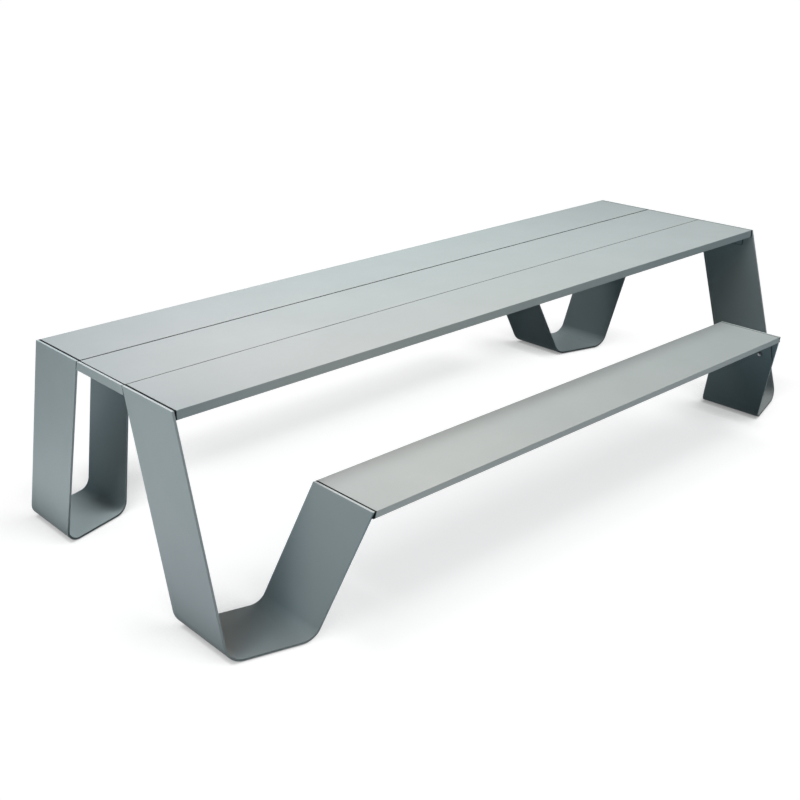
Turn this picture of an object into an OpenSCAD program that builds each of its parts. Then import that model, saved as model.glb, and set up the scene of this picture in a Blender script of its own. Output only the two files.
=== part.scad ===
// Picnic table with folded strip legs.
// The table and bench planks are hollow extrusions. Each corner leg is one flat strip, folded twice on a
// skew: it drops from the table's end, runs along the floor as a foot and leans up to the bench's end.
// The origin is on the floor at the table's centre, +X runs along the table and +Z is up.

/* [Table] */
// Length of the table over the outer faces of the legs
table_length = 3000; // [1800:10:4000]
// Height of the table top above the floor
table_height = 740; // [680:5:800]
// Depth of a table plank
table_plank_depth = 30; // [24:1:45]

/* [Bench] */
// Height of the seat above the floor
seat_height = 440; // [400:5:480]
// Depth of a bench plank
bench_plank_depth = 22; // [20:1:40]

/* [Planks] */
// Width of each plank and of each leg strip
plank_width = 268; // [220:1:320]
// Gap between neighbouring planks, and between a leg and an end plate
plank_gap = 4; // [1:0.5:6]
// Thickness of the skins and webs of a plank
plank_wall = 3.5; // [2.5:0.5:5]
// Number of hollow chambers across a plank
chambers = 6; // [6:2:8]
// Radius on the long edges of a plank
plank_edge_radius = 1; // [0.5:0.5:3]

/* [Folded legs] */
// Thickness of the strip
strip = 8; // [4:0.5:10]
// Angle between the strip's edges and a line square to its folds
fold_skew = 15.7; // [5:0.1:25]
// Inside radius of the folds
fold_radius = 48; // [30:1:70]
// Length of the foot between the corners of its outer faces
foot_length = 275; // [220:1:360]
// Lean of the bench arm from upright
arm_lean = 16.25; // [8:0.25:24]

/* [End caps] */
// Thickness of a cap, which is the seam between a plank's end and its leg
cap_thickness = 5; // [3:0.5:8]
// Step of a cap's edge behind the plank's outline
cap_inset = 1; // [0.5:0.5:2]
// Depth of the cap's plugs in the chambers
plug_depth = 16; // [10:1:20]
// Clearance of a plug in its chamber
plug_clearance = 0.3; // [0.1:0.1:1]
// Diameter of the pins that hold an end plate in a cap
pin_diameter = 6; // [4:0.5:8]
// Length of a pin behind the end plate
pin_length = 16; // [10:1:18]

/* [Brackets] */
// Thickness of the folded bracket plate
bracket_plate = 5; // [4:0.5:8]
// Inside radius of a bracket's fold
bracket_radius = 4; // [2:1:8]
// Distance from a bracket's bolts to its side edges
bracket_margin = 28; // [20:1:35]
// Length of the flange under a plank
plank_flange = 110; // [95:1:140]
// Length of a table bracket's flange on the leg
table_flange = 42; // [40:1:60]
// Length of a bench bracket's flange on the leg
bench_flange = 100; // [80:1:130]
// Distance from the end of a leg flange to its studs
stud_margin = 20; // [14:1:22]
// Distance of each stud from the middle of the bracket
stud_offset = 44; // [30:1:60]
// Distance from a bracket's corner to its first row of bolts
bolt_first = 40; // [36:1:45]
// Distance between a bracket's two rows of bolts
bolt_pitch = 50; // [30:1:50]

/* [Cross rails] */
// Width of a rail
rail_width = 50; // [40:1:80]
// Depth of a rail
rail_depth = 20; // [15:1:40]
// Thickness of the rail's wall
rail_wall = 3; // [2:0.5:5]
// Distance of a rail's end from the table's edge
rail_inset = 50; // [20:1:60]
// Distance of the outer rails from the table's ends
rail_setback = 550; // [200:10:700]

/* [Fasteners] */
// Diameter of the bolts and studs
bolt_diameter = 8; // [6:1:10]
// Diameter of a bolt's head
head_diameter = 14; // [12:0.5:18]
// Height of a bolt's head
head_height = 4.4; // [3:0.2:6]
// Size of a bolt's hexagon socket across flats
socket_flats = 5; // [4:1:6]
// Clearance of a bolt or stud around its radius
bolt_clearance = 0.5; // [0.3:0.1:1]
// Clearance of a bolt in its insert, around the radius
thread_clearance = 0.1; // [0.05:0.05:0.2]
// Outer diameter of a threaded insert
insert_diameter = 11; // [10:0.5:14]
// Length of an insert above the plank's lower skin
insert_length = 9; // [6:0.5:12]
// Width of the insert's bulge on the lower skin
insert_bulge = 1.5; // [1:0.5:3]
// Width of a nut across flats
nut_flats = 13; // [11:1:17]
// Height of a nut
nut_height = 6.5; // [5:0.5:9]
// Length of a stud past its nut
stud_tail = 3; // [1:0.5:6]

/* [Glides] */
// Height of the glides under the feet
glide_height = 4; // [2:0.5:8]
// Diameter of a glide
glide_diameter = 36; // [24:1:50]
// Diameter of a glide's spigot
spigot_diameter = 8; // [6:1:12]
// Length of a glide's spigot in the foot
spigot_length = 3; // [2:0.5:3.5]
// Distance of a glide's middle from the strip's edge
glide_inset = 45; // [30:1:70]
// Distance of a glide's middle from the start of a fold
glide_margin = 28; // [20:1:40]

/* [Hidden] */
$fn = 64;
coat = [0.50, 0.545, 0.545];
plastic = [0.07, 0.075, 0.08];
zinc = [0.66, 0.67, 0.68];
overcut = 1;
fold_steps = 16;
ends = [-1, 1];
sides = [-1, 1];
half_length = table_length / 2;
table_width = 3 * plank_width + 2 * plank_gap;
plank_pitch = plank_width + plank_gap;
table_underside = table_height - table_plank_depth;
seat_underside = seat_height - bench_plank_depth;

// Run of a strip: each flat ends where its fold's arc begins
skew = tan(fold_skew);
fold_outer = fold_radius + strip;
fold_middle = fold_radius + strip / 2;
leg_turn = 90;
arm_turn = 90 - arm_lean;
leg_tangent = fold_outer * tan(leg_turn / 2);
arm_tangent = fold_outer * tan(arm_turn / 2);
leg_run = table_height - glide_height - leg_tangent;
foot_run = foot_length - leg_tangent - arm_tangent;
arm_rise = seat_height - glide_height;
arm_reach = foot_length + arm_rise * tan(arm_lean);
arm_run = arm_rise / cos(arm_lean) - arm_tangent;
foot_start = leg_run + fold_middle * leg_turn * PI / 180;
arm_start = foot_start + foot_run + fold_middle * arm_turn * PI / 180;
strip_length = arm_start + arm_run;
leg_centre = [fold_outer, glide_height + fold_outer];
arm_centre = [foot_length - arm_tangent, glide_height + fold_outer];

// Sideways place of a strip's outer edge after a run along the strip
function strip_y(run) = -table_width / 2 - skew * run;
bench_y = strip_y(strip_length) + plank_width / 2;

// Planks: fixings sit in the middle of a chamber, one and a half chambers from the plank's middle
chamber_pitch = (plank_width - plank_wall) / chambers;
chamber_width = chamber_pitch - plank_wall;
fixing_offset = 1.5 * chamber_pitch;
table_seam = half_length - strip;
bench_seam = half_length - arm_reach;
bench_cap_run = cap_thickness / cos(arm_lean);

// Bracket corners: where a plank's underside meets the leg
table_corner = [table_seam, table_underside];
bench_corner = [half_length - foot_length - (seat_underside - glide_height) * tan(arm_lean), seat_underside];
bracket_rows = [bolt_first, bolt_first + bolt_pitch];
bracket_width = 2 * (fixing_offset + bracket_margin);
rail_spread = half_length - rail_setback;
rail_places = [-rail_spread, 0, rail_spread];

// Modelled once at the left end and the front side, and mirrored to the other corners
module corner(end, side) {
    mirror([end > 0 ? 1 : 0, 0, 0])
        mirror([0, side > 0 ? 1 : 0, 0])
            children();
}

// Draws its children with X across the table and Y up, extruded along the table
module along_table(length) {
    translate([-length / 2, 0, 0])
        rotate([90, 0, 90])
            linear_extrude(length)
                children();
}

// Draws its children with X along the table and Y up, extruded across the table
module across_table(width) {
    rotate([90, 0, 0])
        linear_extrude(width, center = true)
            children();
}

module rounded_rectangle(width, height, radius) {
    square([width - 2 * radius, height], center = true);
    square([width, height - 2 * radius], center = true);
    for (x = [-1, 1], y = [-1, 1])
        translate([x * (width / 2 - radius), y * (height / 2 - radius)])
            circle(radius);
}

module chamber_row(height, clearance) {
    for (i = [0:chambers - 1])
        translate([(i - (chambers - 1) / 2) * chamber_pitch, 0])
            square([chamber_width - 2 * clearance, height - 2 * clearance], center = true);
}

module plank_section(depth) {
    difference() {
        rounded_rectangle(plank_width, depth, plank_edge_radius);
        chamber_row(depth - 2 * plank_wall, 0);
    }
}

// Hollow plank with its top at zero and its ends cut at a lean, holes for inserts in its lower skin
module plank(depth, half_run, lean, holes) {
    spread = depth * tan(lean);
    reach = half_run + spread + overcut;
    difference() {
        intersection() {
            translate([0, 0, -depth / 2])
                along_table(2 * reach)
                    plank_section(depth);
            across_table(plank_width + 2 * overcut)
                polygon([
                    [-half_run, 0], [half_run, 0],
                    [half_run + spread, -depth], [-half_run - spread, -depth]
                ]);
        }
        for (place = holes)
            translate([place[0], place[1], -depth - overcut])
                cylinder(d = insert_diameter, h = plank_wall + 2 * overcut);
    }
}

function fixing_rows(places) = [for (x = places, y = [-fixing_offset, fixing_offset]) [x, y]];
function bracket_places(corner_x) =
    [for (end = ends, row = bracket_rows) end * (corner_x - row)];

module table_plank(row) {
    places = row == 0 ? rail_places : concat(rail_places, bracket_places(table_corner[0]));
    color(coat)
        translate([0, row * plank_pitch, table_height])
            plank(table_plank_depth, table_seam - cap_thickness, 0, fixing_rows(places));
}

module bench_plank(side) {
    color(coat)
        translate([0, -side * bench_y, seat_height])
            plank(bench_plank_depth, bench_seam - bench_cap_run, arm_lean,
                fixing_rows(bracket_places(bench_corner[0])));
}

// Cap on a plank's left end: the seam plate, and a plug in each chamber
module end_cap(depth, seam, run, lean) {
    slope = tan(lean);
    height = depth - 2 * cap_inset;
    face = -seam - cap_inset * slope;
    foot = face - height * slope;
    translate([0, 0, -cap_inset])
        across_table(plank_width - 2 * cap_inset)
            polygon([[face, 0], [face + run, 0], [foot + run, -height], [foot, -height]]);
    intersection() {
        translate([-seam, 0, -depth / 2])
            along_table(2 * (plug_depth + run))
                chamber_row(depth - 2 * plank_wall, plug_clearance);
        across_table(plank_width)
            polygon([
                [-seam + run, 0], [-seam + run + plug_depth, 0],
                [-seam + run + plug_depth, -depth], [-seam + run - depth * slope, -depth]
            ]);
    }
}

// Pins at the middle plank's left end, from the end plate into the cap
module end_pins(lead) {
    for (y = [-fixing_offset, fixing_offset])
        translate([-table_seam - lead, y, table_height - table_plank_depth / 2])
            rotate([0, 90, 0])
                cylinder(d = pin_diameter, h = pin_length + 2 * lead);
}

module table_cap(row, end) {
    color(plastic)
        corner(end, -1)
            difference() {
                translate([0, row * plank_pitch, table_height])
                    end_cap(table_plank_depth, table_seam, cap_thickness, 0);
                if (row == 0)
                    end_pins(overcut);
            }
}

module bench_cap(end, side) {
    color(plastic)
        translate([0, -side * bench_y, seat_height])
            corner(end, -1)
                end_cap(bench_plank_depth, bench_seam, bench_cap_run, arm_lean);
}

// Points of an arc in side view, from an angle on through a turn
function arc(centre, radius, start, turn) = [
    for (i = [0:fold_steps])
        let (angle = start + turn * i / fold_steps)
            centre + radius * [cos(angle), sin(angle)]
];

// Strip's face in side view at a radius of its folds: the upright, a fold, the foot, a fold and the arm
function strip_face(top, radius, tip) = concat(
    [[top, table_height]],
    arc(leg_centre, radius, 180, leg_turn),
    arc(arm_centre, radius, 270, arm_turn),
    [[tip, seat_height]]
);
function fold_runs(run, turn) =
    [for (i = [0:fold_steps]) run + fold_middle * turn * PI / 180 * i / fold_steps];

// Flat strip folded on a skew: its edges move sideways with the run along it, also through the folds
module folded_strip() {
    runs = concat([0], fold_runs(leg_run, leg_turn), fold_runs(foot_start + foot_run, arm_turn));
    outer = strip_face(0, fold_outer, arm_reach);
    inner = strip_face(strip, fold_radius, arm_reach - strip / cos(arm_lean));
    outer_runs = concat(runs, [strip_length]);
    inner_runs = concat(runs, [strip_length - strip * tan(arm_lean)]);
    last = len(runs);
    points = [
        for (i = [0:last])
            each [
                for (edge = [0, plank_width])
                    [outer[i][0], strip_y(outer_runs[i]) + edge, outer[i][1]],
                for (edge = [0, plank_width])
                    [inner[i][0], strip_y(inner_runs[i]) + edge, inner[i][1]]
            ]
    ];
    walls = [[0, 1], [1, 3], [3, 2], [2, 0]];
    sheet = [
        for (i = [0:last - 1], wall = walls)
            let (a = 4 * i + wall[0], b = 4 * i + wall[1])
                each [[b, a, b + 4], [b + 4, a, a + 4]]
    ];
    tips = [[0, 1, 3, 2], [4 * last, 4 * last + 2, 4 * last + 3, 4 * last + 1]];
    polyhedron(points, concat(sheet, tips));
}

// Glide places under a foot: along the foot, and across from the strip's outer edge
function glide_places() = [
    for (run = [glide_margin, foot_run - glide_margin], edge = [glide_inset, plank_width - glide_inset])
        [leg_centre[0] + run, strip_y(foot_start + run) + edge]
];

module leg(end, side) {
    color(coat)
        corner(end, side)
            translate([-half_length, 0, 0])
                difference() {
                    folded_strip();
                    for (place = glide_places())
                        translate([place[0], place[1], glide_height - overcut])
                            cylinder(d = spigot_diameter, h = spigot_length + overcut);
                }
}

// Plate that closes the middle plank's end, with its ends cut parallel to the legs' edges
module end_plate(end) {
    flare = skew * table_plank_depth;
    half_top = plank_width / 2;
    color(coat)
        corner(end, -1) {
            translate([-half_length, 0, table_height])
                rotate([90, 0, 90])
                    linear_extrude(strip)
                        polygon([
                            [-half_top, 0], [half_top, 0],
                            [half_top + flare, -table_plank_depth], [-half_top - flare, -table_plank_depth]
                        ]);
            end_pins(0);
        }
}

// Folded bracket in side view, its corner at the origin, one flange inward and one down the leg
module bracket_profile(flange, turn) {
    outer = bracket_radius + bracket_plate;
    centre = [outer * tan(turn / 2), -outer];
    off_leg = [sin(turn), -cos(turn)];
    tip = -flange * [cos(turn), sin(turn)];
    polygon(concat(
        [[plank_flange, 0]],
        arc(centre, outer, 90, turn),
        [tip, tip + bracket_plate * off_leg],
        arc(centre, bracket_radius, 90 + turn, -turn),
        [[plank_flange, -bracket_plate]]
    ));
}

// Puts its children on a bracket's leg flange, pointing off the leg
module on_leg_flange(flange, turn) {
    along = flange - stud_margin;
    for (y = [-stud_offset, stud_offset])
        translate([-along * cos(turn), y, -along * sin(turn)])
            rotate([0, 180 - turn, 0])
                children();
}

// Puts its children under a bracket's plank flange, pointing up into the plank
module on_plank_flange() {
    for (x = bracket_rows, y = [-fixing_offset, fixing_offset])
        translate([x, y, -bracket_plate])
            children();
}

module bracket(flange, turn) {
    hole = bolt_diameter + 2 * bolt_clearance;
    difference() {
        across_table(bracket_width)
            bracket_profile(flange, turn);
        on_plank_flange()
            translate([0, 0, -overcut])
                cylinder(d = hole, h = bracket_plate + 2 * overcut);
        on_leg_flange(flange, turn)
            translate([0, 0, -overcut])
                cylinder(d = hole, h = bracket_plate + 2 * overcut);
    }
}

module at_table_corner(end, side) {
    corner(end, side)
        translate([-table_corner[0], -plank_pitch, table_corner[1]])
            children();
}

module at_bench_corner(end, side) {
    corner(end, side)
        translate([-bench_corner[0], bench_y, bench_corner[1]])
            children();
}

module at_table_corners() {
    for (end = ends, side = sides)
        at_table_corner(end, side)
            children();
}

module at_bench_corners() {
    for (end = ends, side = sides)
        at_bench_corner(end, side)
            children();
}

module table_bracket(end, side) {
    color(coat)
        at_table_corner(end, side)
            bracket(table_flange, leg_turn);
}

module bench_bracket(end, side) {
    color(coat)
        at_bench_corner(end, side)
            bracket(bench_flange, arm_turn);
}

// Fixings of a cross rail, on the underside of the three planks
module on_rail(place) {
    for (row = [-1, 0, 1], y = [-fixing_offset, fixing_offset])
        translate([place, row * plank_pitch + y, table_underside])
            children();
}

// Channel under the planks, open downwards
module cross_rail(place) {
    length = table_width - 2 * rail_inset;
    color(coat)
        difference() {
            translate([place, 0, table_underside])
                across_table(length)
                    difference() {
                        translate([-rail_width / 2, -rail_depth])
                            square([rail_width, rail_depth]);
                        translate([rail_wall - rail_width / 2, -rail_depth - overcut])
                            square([rail_width - 2 * rail_wall, rail_depth - rail_wall + overcut]);
                    }
            on_rail(place)
                translate([0, 0, -rail_wall - overcut])
                    cylinder(d = bolt_diameter + 2 * bolt_clearance, h = rail_wall + 2 * overcut);
        }
}

// Bolt whose head's upper face is at zero, with a domed head below and its shank above
module bolt(grip) {
    edge = head_height / 3;
    difference() {
        union() {
            cylinder(d = bolt_diameter, h = grip + plank_wall + insert_length);
            rotate_extrude()
                polygon([
                    [0, 0], [head_diameter / 2, 0], [head_diameter / 2, -edge],
                    [head_diameter / 2 - edge, -head_height], [0, -head_height]
                ]);
        }
        translate([0, 0, -head_height - overcut])
            cylinder(d = socket_flats / cos(30), h = head_height / 2 + overcut, $fn = 6);
    }
}

// Threaded insert from the underside of a plank, with a bulge above the lower skin
module insert() {
    difference() {
        union() {
            cylinder(d = insert_diameter, h = plank_wall + insert_length);
            translate([0, 0, plank_wall])
                cylinder(d = insert_diameter + 2 * insert_bulge, h = insert_length / 2);
        }
        translate([0, 0, -overcut])
            cylinder(d = bolt_diameter + 2 * thread_clearance, h = plank_wall + insert_length + 2 * overcut);
    }
}

module stud() {
    cylinder(d = bolt_diameter, h = bracket_plate + nut_height + stud_tail);
}

module nut() {
    translate([0, 0, bracket_plate])
        difference() {
            cylinder(d = nut_flats / cos(30), h = nut_height, $fn = 6);
            translate([0, 0, -overcut])
                cylinder(d = bolt_diameter + 2 * thread_clearance, h = nut_height + 2 * overcut);
        }
}

module table_bracket_bolts() {
    color(zinc) at_table_corners() on_plank_flange() bolt(bracket_plate);
}

module bench_bracket_bolts() {
    color(zinc) at_bench_corners() on_plank_flange() bolt(bracket_plate);
}

module rail_bolts() {
    color(zinc)
        for (place = rail_places)
            on_rail(place)
                translate([0, 0, -rail_wall])
                    bolt(rail_wall);
}

module table_studs() {
    color(zinc) at_table_corners() on_leg_flange(table_flange, leg_turn) stud();
}

module bench_studs() {
    color(zinc) at_bench_corners() on_leg_flange(bench_flange, arm_turn) stud();
}

module table_nuts() {
    color(zinc) at_table_corners() on_leg_flange(table_flange, leg_turn) nut();
}

module bench_nuts() {
    color(zinc) at_bench_corners() on_leg_flange(bench_flange, arm_turn) nut();
}

module table_inserts() {
    color(zinc) {
        at_table_corners() on_plank_flange() translate([0, 0, bracket_plate]) insert();
        for (place = rail_places)
            on_rail(place) insert();
    }
}

module bench_inserts() {
    color(zinc) at_bench_corners() on_plank_flange() translate([0, 0, bracket_plate]) insert();
}

// Low glide with a spigot up into the foot
module foot_glides() {
    color(plastic)
        for (end = ends, side = sides, place = glide_places())
            corner(end, side)
                translate([place[0] - half_length, place[1], 0]) {
                    cylinder(d = glide_diameter, h = glide_height);
                    cylinder(d = spigot_diameter, h = glide_height + spigot_length);
                }
}

table_plank(-1);  // table_plank_front
table_plank(0);  // table_plank_middle
table_plank(1);  // table_plank_back
bench_plank(-1);  // bench_plank_front
bench_plank(1);  // bench_plank_back
leg(-1, -1);  // leg_front_left
leg(1, -1);  // leg_front_right
leg(-1, 1);  // leg_back_left
leg(1, 1);  // leg_back_right
end_plate(-1);  // end_plate_left
end_plate(1);  // end_plate_right
table_cap(-1, -1);  // table_cap_front_left
table_cap(0, -1);  // table_cap_middle_left
table_cap(1, -1);  // table_cap_back_left
table_cap(-1, 1);  // table_cap_front_right
table_cap(0, 1);  // table_cap_middle_right
table_cap(1, 1);  // table_cap_back_right
bench_cap(-1, -1);  // bench_cap_front_left
bench_cap(1, -1);  // bench_cap_front_right
bench_cap(-1, 1);  // bench_cap_back_left
bench_cap(1, 1);  // bench_cap_back_right
table_bracket(-1, -1);  // table_bracket_front_left
table_bracket(1, -1);  // table_bracket_front_right
table_bracket(-1, 1);  // table_bracket_back_left
table_bracket(1, 1);  // table_bracket_back_right
bench_bracket(-1, -1);  // bench_bracket_front_left
bench_bracket(1, -1);  // bench_bracket_front_right
bench_bracket(-1, 1);  // bench_bracket_back_left
bench_bracket(1, 1);  // bench_bracket_back_right
cross_rail(-rail_spread);  // cross_rail_left
cross_rail(0);  // cross_rail_centre
cross_rail(rail_spread);  // cross_rail_right
table_bracket_bolts();
bench_bracket_bolts();
rail_bolts();
table_studs();
bench_studs();
table_nuts();
bench_nuts();
table_inserts();
bench_inserts();
foot_glides();
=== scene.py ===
import math

import bpy
from mathutils import Matrix, Vector


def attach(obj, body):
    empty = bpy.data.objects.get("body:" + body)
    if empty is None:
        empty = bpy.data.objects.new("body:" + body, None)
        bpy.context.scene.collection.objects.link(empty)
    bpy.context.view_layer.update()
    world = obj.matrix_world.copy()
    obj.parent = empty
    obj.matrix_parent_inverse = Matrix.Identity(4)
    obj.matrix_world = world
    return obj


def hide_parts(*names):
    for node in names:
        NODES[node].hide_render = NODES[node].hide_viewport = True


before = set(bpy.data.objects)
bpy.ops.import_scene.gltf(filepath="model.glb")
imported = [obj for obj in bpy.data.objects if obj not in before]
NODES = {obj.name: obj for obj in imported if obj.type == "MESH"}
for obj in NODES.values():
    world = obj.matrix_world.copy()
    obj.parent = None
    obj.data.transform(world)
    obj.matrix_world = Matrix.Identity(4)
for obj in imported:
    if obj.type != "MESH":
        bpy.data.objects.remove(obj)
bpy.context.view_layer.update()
MM = 0.001

# sizes, as in the CAD source, in millimetres; a run is a length along the strip of a leg, from its top
LENGTH, HEIGHT, SEAT = 3000.0, 740.0, 440.0
PLANK, GAP, TABLE_DEPTH, BENCH_DEPTH = 268.0, 4.0, 30.0, 22.0
STRIP, FOLD_IN, FOOT, GLIDE = 8.0, 48.0, 275.0, 4.0
LEAN, SKEW = math.radians(16.25), math.tan(math.radians(15.7))
HALF = LENGTH / 2
WIDTH = 3 * PLANK + 2 * GAP
FOLD_OUT, FOLD_MID = FOLD_IN + STRIP, FOLD_IN + STRIP / 2
TURN = math.pi / 2 - LEAN
ARM_TANGENT = FOLD_OUT * math.tan(TURN / 2)
LEG_RUN = HEIGHT - GLIDE - FOLD_OUT
FOOT_RUN = FOOT - FOLD_OUT - ARM_TANGENT
FOOT_START = LEG_RUN + FOLD_MID * math.pi / 2
ARM_FOLD = FOOT_START + FOOT_RUN
ARM_START = ARM_FOLD + FOLD_MID * TURN
ARM_RUN = (SEAT - GLIDE) / math.cos(LEAN) - ARM_TANGENT
RUN = ARM_START + ARM_RUN
REACH = FOOT + (SEAT - GLIDE) * math.tan(LEAN)
BENCH_Y = -WIDTH / 2 - SKEW * RUN + PLANK / 2
# the front left corner is drawn, and -1 mirrors it in x or y
CORNERS = {"front_left": (1, 1), "front_right": (-1, 1), "back_left": (1, -1), "back_right": (-1, -1)}


# ---- materials
# noise: scale, detail and roughness, or the last two where each finish has its own scale
DRIFT_NOISE, WEAR_NOISE = (5.0, 4.0, 0.6), (60.0, 5.0, 0.65)
PEEL_NOISE, GRAIN_NOISE = (2.0, 0.5), (3.0, 0.6)
OPENNESS_SAMPLES = 4
# the colour of the shade painted into narrow gaps, and for each width: reach in metres, openness where the
# painted shade is full, openness where there is none
GAP_SHADE = (0.006, 0.009, 0.011)
WIDE_GAP_SHADE, FINE_GAP_SHADE = (0.014, 0.45, 0.9), (0.006, 0.55, 0.95)


def new_material(name):
    m = bpy.data.materials.new(name)
    m.use_nodes = True
    t = m.node_tree
    t.nodes.clear()
    out = t.nodes.new("ShaderNodeOutputMaterial")
    return m, t, out


def noise(t, coords, scale, detail, rough):
    n = t.nodes.new("ShaderNodeTexNoise")
    n.inputs["Scale"].default_value = scale
    n.inputs["Detail"].default_value = detail
    n.inputs["Roughness"].default_value = rough
    t.links.new(coords, n.inputs["Vector"])
    return n.outputs["Fac"]


def span(t, fac, low, high, lo_in=0.3, hi_in=0.7):
    """Map of a range to low..high, with a clamp; low may also be the output of another node."""
    n = t.nodes.new("ShaderNodeMapRange")
    n.inputs["From Min"].default_value = lo_in
    n.inputs["From Max"].default_value = hi_in
    n.inputs["To Max"].default_value = high
    if isinstance(low, float):
        n.inputs["To Min"].default_value = low
    else:
        t.links.new(low, n.inputs["To Min"])
    t.links.new(fac, n.inputs["Value"])
    return n.outputs["Result"]


def blend_colour(t, fac, a, b):
    """Blend of two colours; the second may also be the output of another node."""
    n = t.nodes.new("ShaderNodeMix")
    n.data_type = "RGBA"
    n.inputs["A"].default_value = (*a, 1)
    if isinstance(b, tuple):
        n.inputs["B"].default_value = (*b, 1)
    else:
        t.links.new(b, n.inputs["B"])
    t.links.new(fac, n.inputs["Factor"])
    return n.outputs["Result"]


def openness(t, reach, towards=None):
    """1 where nothing is within reach, and less near other faces; looks towards a direction if one is given."""
    n = t.nodes.new("ShaderNodeAmbientOcclusion")
    n.samples = OPENNESS_SAMPLES
    n.inputs["Distance"].default_value = reach
    if towards is not None:
        way = t.nodes.new("ShaderNodeCombineXYZ")
        for socket, value in zip(way.inputs, towards):
            socket.default_value = value
        t.links.new(way.outputs[0], n.inputs["Normal"])
    return n.outputs["AO"]


def bump(t, height, strength, distance, under=None):
    n = t.nodes.new("ShaderNodeBump")
    n.inputs["Strength"].default_value = strength
    n.inputs["Distance"].default_value = distance
    t.links.new(height, n.inputs["Height"])
    if under is not None:
        t.links.new(under, n.inputs["Normal"])
    return n.outputs["Normal"]


def object_coords(t):
    return t.nodes.new("ShaderNodeTexCoord").outputs["Object"]


def finish_material(name, dark, light, metallic, rough, specular, peel, grain, gap_shade):
    """Colour and roughness drift with soft noise, and painted shade darkens narrow gaps and faces close to
    other faces.

    Peel is a slow waviness and grain a fine texture of the surface, each with a scale, a strength and
    a distance in metres; the last argument sets the painted gap shade, as one of the gap widths.
    """
    m, t, out = new_material(name)
    at = object_coords(t)
    p = t.nodes.new("ShaderNodeBsdfPrincipled")
    p.inputs["Metallic"].default_value = metallic
    p.inputs["Specular IOR Level"].default_value = specular
    own_colour = blend_colour(t, span(t, noise(t, at, *DRIFT_NOISE), 0.0, 1.0), dark, light)
    # painted shade: the colour goes towards the near-black gap colour where other faces are within reach
    reach, black, open_face = gap_shade
    unshaded = span(t, openness(t, reach), 0.0, 1.0, black, open_face)
    t.links.new(blend_colour(t, unshaded, GAP_SHADE, own_colour), p.inputs["Base Color"])
    t.links.new(span(t, noise(t, at, *WEAR_NOISE), *rough), p.inputs["Roughness"])
    wave = bump(t, noise(t, at, peel[0], *PEEL_NOISE), peel[1], peel[2])
    fine = bump(t, noise(t, at, grain[0], *GRAIN_NOISE), grain[1], grain[2], wave)
    t.links.new(fine, p.inputs["Normal"])
    t.links.new(p.outputs["BSDF"], out.inputs["Surface"])
    return m


POWDER = {"metallic": 0.0, "peel": (260.0, 0.10, 0.0004), "grain": (2600.0, 0.10, 0.00012)}
BLUE_GREY = {"dark": (0.378, 0.440, 0.461), "light": (0.396, 0.460, 0.482),
             "rough": (0.44, 0.53), "specular": 0.042}
# the strips' coat is the same coat with painted gap shade of a shorter reach
COAT = finish_material("powder_coat", gap_shade=WIDE_GAP_SHADE, **BLUE_GREY, **POWDER)
STRIP_COAT = finish_material("powder_coat_strip", gap_shade=FINE_GAP_SHADE, **BLUE_GREY, **POWDER)
# a lighter, glossier copy of the coat, painted on cut faces as a highlight
EDGE_HIGHLIGHT = finish_material(
    "powder_coat_edge_highlight", dark=(0.46, 0.54, 0.565), light=(0.49, 0.57, 0.595),
    rough=(0.40, 0.5), specular=0.2, gap_shade=FINE_GAP_SHADE, **POWDER)
CAP = finish_material(
    "cap_plastic", dark=(0.006, 0.009, 0.011), light=(0.010, 0.014, 0.017), metallic=0.0,
    rough=(0.55, 0.7), specular=0.1, peel=(400.0, 0.1, 0.0003), grain=(3000.0, 0.2, 0.0001), gap_shade=WIDE_GAP_SHADE)
PAD = finish_material(
    "glide_plastic", dark=(0.022, 0.022, 0.024), light=(0.034, 0.034, 0.036), metallic=0.0,
    rough=(0.5, 0.68), specular=0.4, peel=(300.0, 0.1, 0.0003), grain=(2500.0, 0.2, 0.0001), gap_shade=WIDE_GAP_SHADE)
ZINC = finish_material(
    "zinc_steel", dark=(0.30, 0.31, 0.32), light=(0.42, 0.43, 0.44), metallic=1.0,
    rough=(0.34, 0.5), specular=0.5, peel=(500.0, 0.15, 0.0003), grain=(3200.0, 0.15, 0.0001), gap_shade=WIDE_GAP_SHADE)


# ---- pieces, in millimetres
# roundings of the strip, the least that an inset ring keeps, of the planks' long edges and of their ends,
# and the steps over a rounding
ROUND, LEAST_ROUND, EDGE, PLANK_END = 0.5, 0.05, 0.7, 0.3
CORNER_STEPS, STRIP_STEPS, PLANK_STEPS = 3, 3, 2
# rings along each stretch of a leg, and along a plank
LEG_BAYS, FOOT_FOLD_BAYS, FOOT_BAYS, ARM_FOLD_BAYS, ARM_BAYS, PLANK_BAYS = 6, 24, 4, 20, 5, 12
# inset of a cap's face and of its plug, the plug's length, and the strength of the weighted normals
CAP_INSET, PLUG_INSET, PLUG, EVEN_WEIGHT = 0.15, 4.0, 15.0, 80
# the two faces that close a skin come last
END_FACES = (-2, -1)
# the photographed table stands a little out of true: the back gap is wider than the front one, the end
# plates are a little wide, and the outer planks and the benches sit to the right, which opens their left seams
MIDDLE_SHIFT, BACK_TRIM, PLATE_TRIM = -0.7, 2.2, -0.3
OUTER_SEAM, MIDDLE_SEAM, BENCH_SEAM = 6.2, 5.0, 4.9
OUTER_SLIDE, BENCH_SLIDE = 1.6, 1.3
# front and back edge, seam and slide of each row
TABLE_ROWS = {
    "front": (-WIDTH / 2, PLANK - WIDTH / 2, OUTER_SEAM, OUTER_SLIDE),
    "middle": (MIDDLE_SHIFT - PLANK / 2, MIDDLE_SHIFT + PLANK / 2, MIDDLE_SEAM, 0.0),
    "back": (WIDTH / 2 - PLANK + BACK_TRIM, WIDTH / 2, OUTER_SEAM, OUTER_SLIDE),
}
SIDES = {"left": 1, "right": -1}


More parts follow.
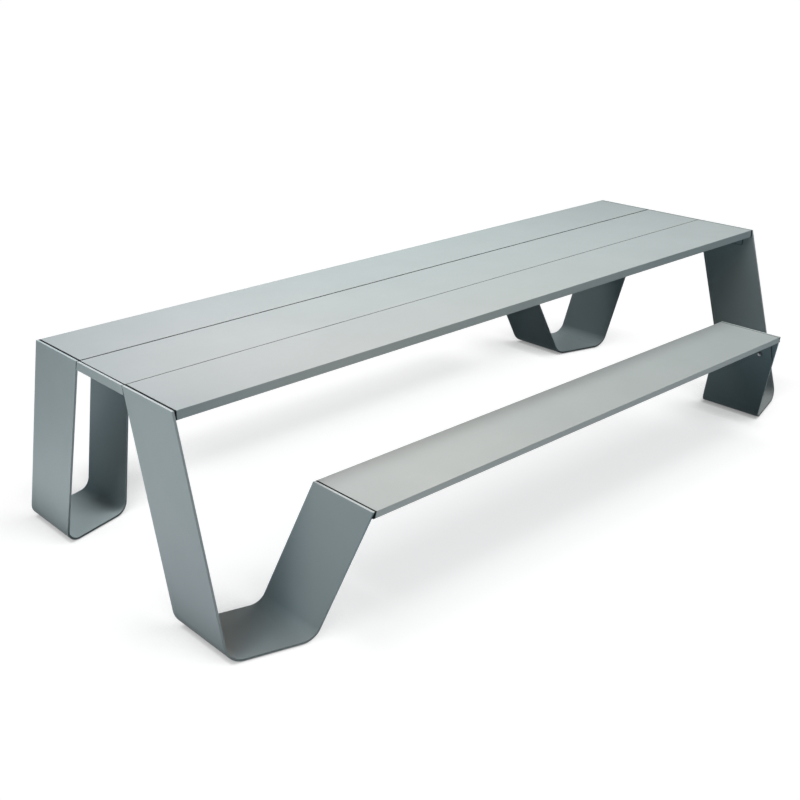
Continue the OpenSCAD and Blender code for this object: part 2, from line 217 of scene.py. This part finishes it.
def mesh_object(name, points, faces, material, node, cut_faces=()):
    """Piece that takes the place of a CAD node, with a lighter coat painted on its cut faces as a highlight."""
    mesh = bpy.data.meshes.new(name)
    mesh.from_pydata([Vector(p) * MM for p in points], [], faces)
    mesh.update()
    for poly in mesh.polygons:
        poly.use_smooth = True
    mesh.materials.append(material)
    if cut_faces:
        mesh.materials.append(EDGE_HIGHLIGHT)
        for i in cut_faces:
            mesh.polygons[i].material_index = 1
    o = bpy.data.objects.new(name, mesh)
    bpy.context.scene.collection.objects.link(o)
    w = o.modifiers.new("even", "WEIGHTED_NORMAL")
    w.weight = EVEN_WEIGHT
    w.keep_sharp = True
    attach(o, "root")
    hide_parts(node)


def rounded_section(x0, x1, z0, z1, r):
    """Rounded rectangle, anticlockwise."""
    pts = []
    corners = ((x1 - r, z1 - r, 0), (x0 + r, z1 - r, 90), (x0 + r, z0 + r, 180), (x1 - r, z0 + r, 270))
    for cx, cz, start in corners:
        for i in range(CORNER_STEPS + 1):
            a = math.radians(start + 90 * i / CORNER_STEPS)
            pts.append((cx + r * math.cos(a), cz + r * math.sin(a)))
    return pts


def skin(rings, flip=False):
    """Faces over a list of equal rings, with both ends closed."""
    n, k = len(rings[0]), len(rings)
    points = [p for ring in rings for p in ring]
    faces = []
    for i in range(k - 1):
        for j in range(n):
            a, b = i * n + j, i * n + (j + 1) % n
            faces.append((a, b, b + n, a + n))
    faces.append(tuple(range(n - 1, -1, -1)))
    faces.append(tuple(range((k - 1) * n, k * n)))
    if flip:
        faces = [f[::-1] for f in faces]
    return points, faces


def end_steps(r, count):
    """(distance in from the end, inset of the section) over a rounded end, from the end inwards."""
    angles = [math.pi / 2 * (1 - i / count) for i in range(count + 1)]
    return [(r * (1 - math.sin(a)), r * (1 - math.cos(a))) for a in angles]


STRIP_END = end_steps(ROUND, STRIP_STEPS)


def strip_station(run):
    """Middle of the strip in side view and its outward normal, after a run from the top."""
    if run < LEG_RUN:
        return STRIP / 2, HEIGHT - run, -1.0, 0.0
    if run < FOOT_START:
        a = math.pi + (run - LEG_RUN) / FOLD_MID
        cx, cz = FOLD_OUT, GLIDE + FOLD_OUT
    elif run < ARM_FOLD:
        return FOLD_OUT + run - FOOT_START, GLIDE + STRIP / 2, 0.0, -1.0
    else:
        cx, cz = FOOT - ARM_TANGENT, GLIDE + FOLD_OUT
        a = 1.5 * math.pi + (run - ARM_FOLD) / FOLD_MID
    if run >= ARM_START:
        nx, nz = math.cos(LEAN), -math.sin(LEAN)
        d = run - ARM_START
        return cx + FOLD_MID * nx + d * math.sin(LEAN), cz + FOLD_MID * nz + d * math.cos(LEAN), nx, nz
    return cx + FOLD_MID * math.cos(a), cz + FOLD_MID * math.sin(a), math.cos(a), math.sin(a)


def leg(name, sx, sy):
    """Strip folded twice on a skew, from the table's end over the foot to the bench's end."""
    half = STRIP / 2
    tip = RUN - half * math.tan(LEAN)
    runs = [LEG_RUN * i / LEG_BAYS for i in range(1, LEG_BAYS)]
    runs += [LEG_RUN + (FOOT_START - LEG_RUN) * i / FOOT_FOLD_BAYS for i in range(FOOT_FOLD_BAYS + 1)]
    runs += [FOOT_START + FOOT_RUN * i / FOOT_BAYS for i in range(1, FOOT_BAYS)]
    runs += [ARM_FOLD + (ARM_START - ARM_FOLD) * i / ARM_FOLD_BAYS for i in range(ARM_FOLD_BAYS + 1)]
    runs += [ARM_START + ARM_RUN * i / ARM_BAYS for i in range(1, ARM_BAYS)]

    def ring(inset, run_of):
        pts = []
        r = max(ROUND - inset, LEAST_ROUND)
        for e, b in rounded_section(inset, PLANK - inset, -half + inset, half - inset, r):
            run = run_of(b)
            x, z, nx, nz = strip_station(run)
            pts.append((sx * (x + nx * b - HALF), sy * (-WIDTH / 2 - SKEW * run + e), z + nz * b))
        return pts

    rings = [ring(inset, lambda b, d=d: d) for d, inset in STRIP_END]
    rings += [ring(0.0, lambda b, s=s: s) for s in runs]
    rings += [ring(inset, lambda b, d=d: tip + b * math.tan(LEAN) - d) for d, inset in reversed(STRIP_END)]
    points, faces = skin(rings, flip=sx * sy > 0)
    # the strip's two end faces get the painted highlight
    mesh_object("coated_leg_" + name, points, faces, STRIP_COAT, "leg_" + name, END_FACES)


def plank(name, node, y0, y1, top, depth, half_run, lean, slide):
    """Long plank with rounded edges; its ends follow the lean of what they meet."""
    section = rounded_section(y0, y1, -depth, 0.0, EDGE)
    mid, half = (y0 + y1) / 2, (y1 - y0) / 2
    rings = []
    for side in (-1, 1):
        ends = []
        for d, inset in end_steps(PLANK_END, PLANK_STEPS):
            ring = []
            for y, z in section:
                y2 = mid + (y - mid) * (1 - inset / half)
                z2 = -depth / 2 + (z + depth / 2) * (1 - inset / (depth / 2))
                ring.append((side * (half_run - z2 * math.tan(lean) - d) + slide, y2, top + z2))
            ends.append(ring)
        rings += ends if side < 0 else ends[::-1]
        if side < 0:
            for i in range(1, PLANK_BAYS):
                place = 2 * i / PLANK_BAYS - 1
                rings.append([
                    (place * (half_run - z * math.tan(lean)) + slide, y, top + z) for y, z in section])
    points, faces = skin(rings)
    mesh_object(name, points, faces, COAT, node)


def end_plate(side, sx):
    """Trapezoid plate with rounded edges between the legs."""
    flare = SKEW * TABLE_DEPTH
    rings = []
    for d, inset in STRIP_END + [(STRIP - d, inset) for d, inset in reversed(STRIP_END)]:
        x = sx * (d - HALF)
        top, low = HEIGHT - inset, HEIGHT - TABLE_DEPTH + inset
        half = PLANK / 2 - PLATE_TRIM - inset
        a, b = half + SKEW * inset, half + flare - SKEW * inset
        rings.append([(x, MIDDLE_SHIFT + y, z) for y, z in ((-a, top), (a, top), (b, low), (-b, low))])
    points, faces = skin(rings, flip=sx > 0)
    # the plate's top faces get the painted highlight
    upper = range(0, len(faces) - len(END_FACES), len(rings[0]))
    node = "end_plate_" + side
    mesh_object("coated_" + node, points, faces, STRIP_COAT, node, upper)


def end_cap(node, sx, y0, y1, top, depth, half_run, lean, seam, slide):
    """Black cap that closes a plank: a face as large as the plank's section, and a plug inside it."""
    rings = []
    reach = seam + sx * slide * math.cos(lean)
    for run, inset in ((reach, CAP_INSET), (0.0, CAP_INSET), (0.0, PLUG_INSET), (-PLUG, PLUG_INSET)):
        section = rounded_section(y0 + inset, y1 - inset, inset - depth, -inset, EDGE)
        end = half_run + run / math.cos(lean)
        rings.append([(slide - sx * (end - z * math.tan(lean)), y, top + z) for y, z in section])
    points, faces = skin(rings, flip=sx > 0)
    mesh_object("black_" + node, points, faces, CAP, node)


for corner, (sx, sy) in CORNERS.items():
    leg(corner, sx, sy)
for name, (y0, y1, seam, slide) in TABLE_ROWS.items():
    run, node = HALF - STRIP - seam, "table_plank_" + name
    plank("coated_" + node, node, y0, y1, HEIGHT, TABLE_DEPTH, run, 0.0, slide)
    for side, sx in SIDES.items():
        node = "table_cap_%s_%s" % (name, side)
        end_cap(node, sx, y0, y1, HEIGHT, TABLE_DEPTH, run, 0.0, seam, slide)
for name, y in (("front", BENCH_Y), ("back", -BENCH_Y)):
    y0, y1, run = y - PLANK / 2, y + PLANK / 2, HALF - REACH - BENCH_SEAM / math.cos(LEAN)
    node = "bench_plank_" + name
    plank("coated_" + node, node, y0, y1, SEAT, BENCH_DEPTH, run, LEAN, BENCH_SLIDE)
    for side, sx in SIDES.items():
        node = "bench_cap_%s_%s" % (name, side)
        end_cap(node, sx, y0, y1, SEAT, BENCH_DEPTH, run, LEAN, BENCH_SEAM, BENCH_SLIDE)
for side, sx in SIDES.items():
    end_plate(side, sx)

for name, node in NODES.items():
    if name == "foot_glides":
        material = PAD
    elif name.endswith(("bolts", "studs", "nuts", "inserts")):
        material = ZINC
    else:
        material = COAT
    node.data.materials.clear()
    node.data.materials.append(material)


# ---- camera, at the photograph's place; focal length and shifts in pixels
PHOTO, SENSOR, FARTHEST = 800, 36, 200
FOCAL, SHIFT_X, SHIFT_Y = 1153.680, 43.4695, -30.8446
YAW, PITCH, ROLL = math.radians(48.8245), math.radians(21.0399), math.radians(-0.5272)
EYE = Vector((-3.058041, -2.970547, 1.999821))
forward = Vector((math.cos(YAW) * math.cos(PITCH), math.sin(YAW) * math.cos(PITCH), -math.sin(PITCH)))
level = Vector((math.sin(YAW), -math.cos(YAW), 0.0))
above = level.cross(forward)
right = level * math.cos(ROLL) + above * math.sin(ROLL)
up = above * math.cos(ROLL) - level * math.sin(ROLL)
camera = bpy.data.objects.new("camera", bpy.data.cameras.new("camera"))
bpy.context.scene.collection.objects.link(camera)
camera.matrix_world = Matrix((
    (right.x, up.x, -forward.x, EYE.x),
    (right.y, up.y, -forward.y, EYE.y),
    (right.z, up.z, -forward.z, EYE.z),
    (0, 0, 0, 1)))
camera.data.lens = FOCAL / PHOTO * SENSOR
camera.data.sensor_width = SENSOR
camera.data.shift_x = SHIFT_X / PHOTO
camera.data.shift_y = SHIFT_Y / PHOTO
camera.data.clip_end = FARTHEST
bpy.context.scene.camera = camera


# ---- stage
# the floor's brightness, the share of it that comes from the suns, its paleness, the light that it
# sends to the object, and half its width in metres
FLOOR, SUNS, PALE, BOUNCE, FLOOR_HALF = 1.01, 0.668, 0.8, (0.039, 0.054, 0.057), 60
# contact shade falls where the floor sees a foot in the direction AWAY or BEHIND; a floor that is more
# open than OPEN has none
AWAY, BEHIND, OPEN = (0.85, -0.4, 0.35), (-0.35, -0.85, 0.35), 0.97
# its soft part is missing at the near feet and darkest at the far ones, at these x in metres
NEAR_FEET, FAR_FEET, SOFT_NEAR, SOFT_FAR = -1.2, 1.2, 1.0, 0.76


def chain(t, operation, first, *others):
    """One math operation over several outputs in turn."""
    for other in others:
        n = t.nodes.new("ShaderNodeMath")
        n.operation = operation
        t.links.new(first, n.inputs[0])
        t.links.new(other, n.inputs[1])
        first = n.outputs[0]
    return first


def seen_directly(t):
    """1 for rays that show the background: from the camera, and in reflections and through glass."""
    rays = t.nodes.new("ShaderNodeLightPath").outputs
    return chain(t, "MAXIMUM", rays["Is Camera Ray"], rays["Is Glossy Ray"], rays["Is Transmission Ray"])


def direct_or(t, other, direct, out):
    """Surface that shows one shader directly and sends the light of another."""
    mix = t.nodes.new("ShaderNodeMixShader")
    t.links.new(seen_directly(t), mix.inputs[0])
    t.links.new(other, mix.inputs[1])
    t.links.new(direct, mix.inputs[2])
    t.links.new(mix.outputs[0], out.inputs["Surface"])


def plain(t, kind, colour):
    """Emission or background of one colour."""
    n = t.nodes.new(kind)
    n.inputs["Color"].default_value = (*colour, 1)
    return n.outputs[0]


m, t, out = new_material("floor")
along = t.nodes.new("ShaderNodeSeparateXYZ")
t.links.new(object_coords(t), along.inputs[0])
soft = span(t, along.outputs["X"], SOFT_NEAR, SOFT_FAR, NEAR_FEET, FAR_FEET)
# reach in metres, direction, share of light that is left, and the openness where only that is left
shade = chain(t, "MULTIPLY", *(
    span(t, openness(t, reach, way), darkest, 1.0, closed, OPEN)
    for reach, way, darkest, closed in (
        (0.018, AWAY, 0.55, 0.45), (0.09, AWAY, soft, 0.45), (0.3, BEHIND, 0.56, 0.55))))
pale = t.nodes.new("ShaderNodeBsdfDiffuse")
t.links.new(span(t, shade, 0.0, PALE, 0.0, 1.0), pale.inputs["Color"])
glow = t.nodes.new("ShaderNodeEmission")
t.links.new(span(t, shade, 0.0, FLOOR - SUNS, 0.0, 1.0), glow.inputs["Strength"])
lit = t.nodes.new("ShaderNodeAddShader")
t.links.new(glow.outputs[0], lit.inputs[0])
t.links.new(pale.outputs[0], lit.inputs[1])
direct_or(t, plain(t, "ShaderNodeEmission", BOUNCE), lit.outputs[0], out)
floor_mesh = bpy.data.meshes.new("floor")
square = [(x * FLOOR_HALF, y * FLOOR_HALF, 0) for x, y in ((-1, -1), (1, -1), (1, 1), (-1, 1))]
floor_mesh.from_pydata(square, [], [(0, 1, 2, 3)])
floor_mesh.materials.append(m)
floor = bpy.data.objects.new("floor", floor_mesh)
bpy.context.scene.collection.objects.link(floor)

world = bpy.data.worlds.new("studio")
bpy.context.scene.world = world
world.use_nodes = True
t = world.node_tree
t.nodes.clear()
out = t.nodes.new("ShaderNodeOutputWorld")
black, white = (plain(t, "ShaderNodeBackground", (c, c, c)) for c in (0, 1))
direct_or(t, black, white, out)


# ---- lamps: soft panels for the object, and suns that draw the benches' shadows on the floor
UP, CENTRE = Vector((0, 0, 1)), (0.0, 0.0, 0.0)


def lamp_object(name, kind, at, to, colour):
    lamp = bpy.data.lights.new(name, kind)
    lamp.color = [c / max(colour) for c in colour]
    o = bpy.data.objects.new(name, lamp)
    bpy.context.scene.collection.objects.link(o)
    o.location = at
    o.rotation_mode = "QUATERNION"
    o.rotation_quaternion = (Vector(to) - Vector(at)).to_track_quat("-Z", "Y")
    o.visible_camera = False
    return o


def linked(name, state, *objects):
    """Collection for light linking, which includes or excludes its objects."""
    group = bpy.data.collections.new(name)
    for o in objects:
        group.objects.link(o)
    for entry in group.collection_objects:
        entry.light_linking.link_state = state
    return group


def panel(name, at, to, wide, high, radiance, receivers):
    o = lamp_object(name, "AREA", at, to, radiance)
    o.data.shape = "RECTANGLE"
    o.data.size, o.data.size_y = wide, high
    o.data.energy = max(radiance) * math.pi * wide * high
    o.light_linking.receiver_collection = receivers


def floor_sun(name, at, degrees, share, blockers):
    """Sun that adds a share of the floor's light, with the shadow of one bench."""
    o = lamp_object(name, "SUN", at, CENTRE, (1.0, 1.0, 1.0))
    o.data.angle = math.radians(degrees)
    o.data.energy = share * math.pi / PALE / math.cos(Vector(at).angle(UP))
    o.light_linking.receiver_collection = only_floor
    o.light_linking.blocker_collection = blockers


front_bench, back_bench, far_leg, back_leg = (bpy.data.objects["coated_" + node] for node in (
    "bench_plank_front", "bench_plank_back", "leg_back_right", "leg_back_left"))
not_floor = linked("not_floor", "EXCLUDE", floor)
only_floor = linked("only_floor", "INCLUDE", floor)
only_bench = linked("only_bench", "INCLUDE", front_bench)
not_far_leg = linked("not_far_leg", "EXCLUDE", floor, far_leg)
only_far_leg = linked("only_far_leg", "INCLUDE", far_leg)
not_back_leg = linked("not_back_leg", "EXCLUDE", floor, back_leg)
only_back_leg = linked("only_back_leg", "INCLUDE", back_leg)
front_shade = linked("front_shade", "INCLUDE", front_bench)
back_shade = linked("back_shade", "INCLUDE", back_bench)
# place, target, width and height in metres, radiance, and what the panel lights
for row in (
    ("above_left", (-3.0, -0.6, 3.0), (-3.0, -0.6, 0.0), 1.5, 1.4, (2.62, 3.53, 3.93), not_floor),
    ("above_right", (1.5, -0.6, 3.0), (1.5, -0.6, 0.0), 1.5, 1.4, (5.85, 5.6, 5.4), not_floor),
    ("above_front", (1.5, -2.0, 3.0), (1.5, -2.0, 0.0), 1.5, 1.4, (1.42, 1.12, 0.883), not_floor),
    ("near_corner", (-1.15, -0.2, 1.5), (-1.2, -0.25, 0.74), 0.5, 0.4, (2.8, 1.85, 1.65), not_floor),
    ("near_bench", (-1.0, -0.95, 1.1), (-1.0, -0.7, 0.44), 0.5, 0.3, (2.66, 2.06, 1.69), not_floor),
    ("mid_bench", (-0.2, -0.9, 1.6), (-0.3, -0.67, 0.44), 1.0, 0.5, (2.28, 1.79, 1.42), not_floor),
    ("left", (-2.6, -0.4, 1.1), (-1.5, -0.3, 0.6), 0.6, 0.8, (3.68, 3.53, 3.18), not_floor),
    ("floor_front", (0.0, -2.4, 0.02), (0.0, -2.4, 1.0), 6, 2.4, (0.699, 0.889, 0.97), not_floor),
    ("floor_near_front", (-2.0, -0.5, 0.02), (-2.0, -0.5, 1.0), 0.7, 0.9, (1.12, 1.03, 1.09), not_floor),
    ("floor_near_back", (-2.0, 0.5, 0.02), (-2.0, 0.5, 1.0), 0.7, 0.9, (1.86, 1.86, 1.85), not_floor),
    ("floor_foot", (-1.3, -1.0, 0.02), (-1.3, -0.6, 0.12), 0.5, 0.2, (1.8, 1.8, 1.8), not_floor),
    ("near_top", (-1.0, 0.17, 1.9), (-1.2, 0.05, 0.74), 0.8, 0.8, (2.95, 2.4, 2.4), not_back_leg),
    ("above_bench", (0.15, 0.9, 3.0), (-0.8, 0.7, 0.0), 0.7, 0.8, (25.0, 25.3, 24.0), not_far_leg),
    ("above_far", (0.65, 0.9, 3.0), (1.3, 0.6, 0.0), 0.7, 0.8, (15.2, 15.9, 15.6), only_far_leg),
    ("above_back", (-0.1, 0.7, 2.4), (-1.2, 0.6, 0.0), 0.5, 0.5, (16.5, 17.5, 18.5), only_back_leg),
    ("bench_edge", (-0.1, -1.3, 0.38), (-0.1, -0.8, 0.43), 2.4, 0.2, (1.3, 0.98, 0.84), only_bench),
):
    panel(*row)
# place, angle in degrees, share of the floor's light, and what throws a shadow
for row in (
    ("sun_front_a", (-0.3, -0.3, 1.0), 28.0, 0.213, front_shade),
    ("sun_front_b", (0.5, -0.9, 1.0), 28.0, 0.11, front_shade),
    ("sun_front_c", (-0.5, -0.7, 1.0), 18.0, 0.038, front_shade),
    ("sun_front_d", (0.1, 0.1, 1.0), 18.0, 0.088, front_shade),
    ("sun_back_a", (0.7, -0.1, 1.0), 18.0, 0.099, back_shade),
    ("sun_back_b", (-0.7, 0.1, 1.0), 28.0, 0.12, back_shade),
):
    floor_sun(*row)

bpy.context.scene.view_settings.view_transform = "Standard"
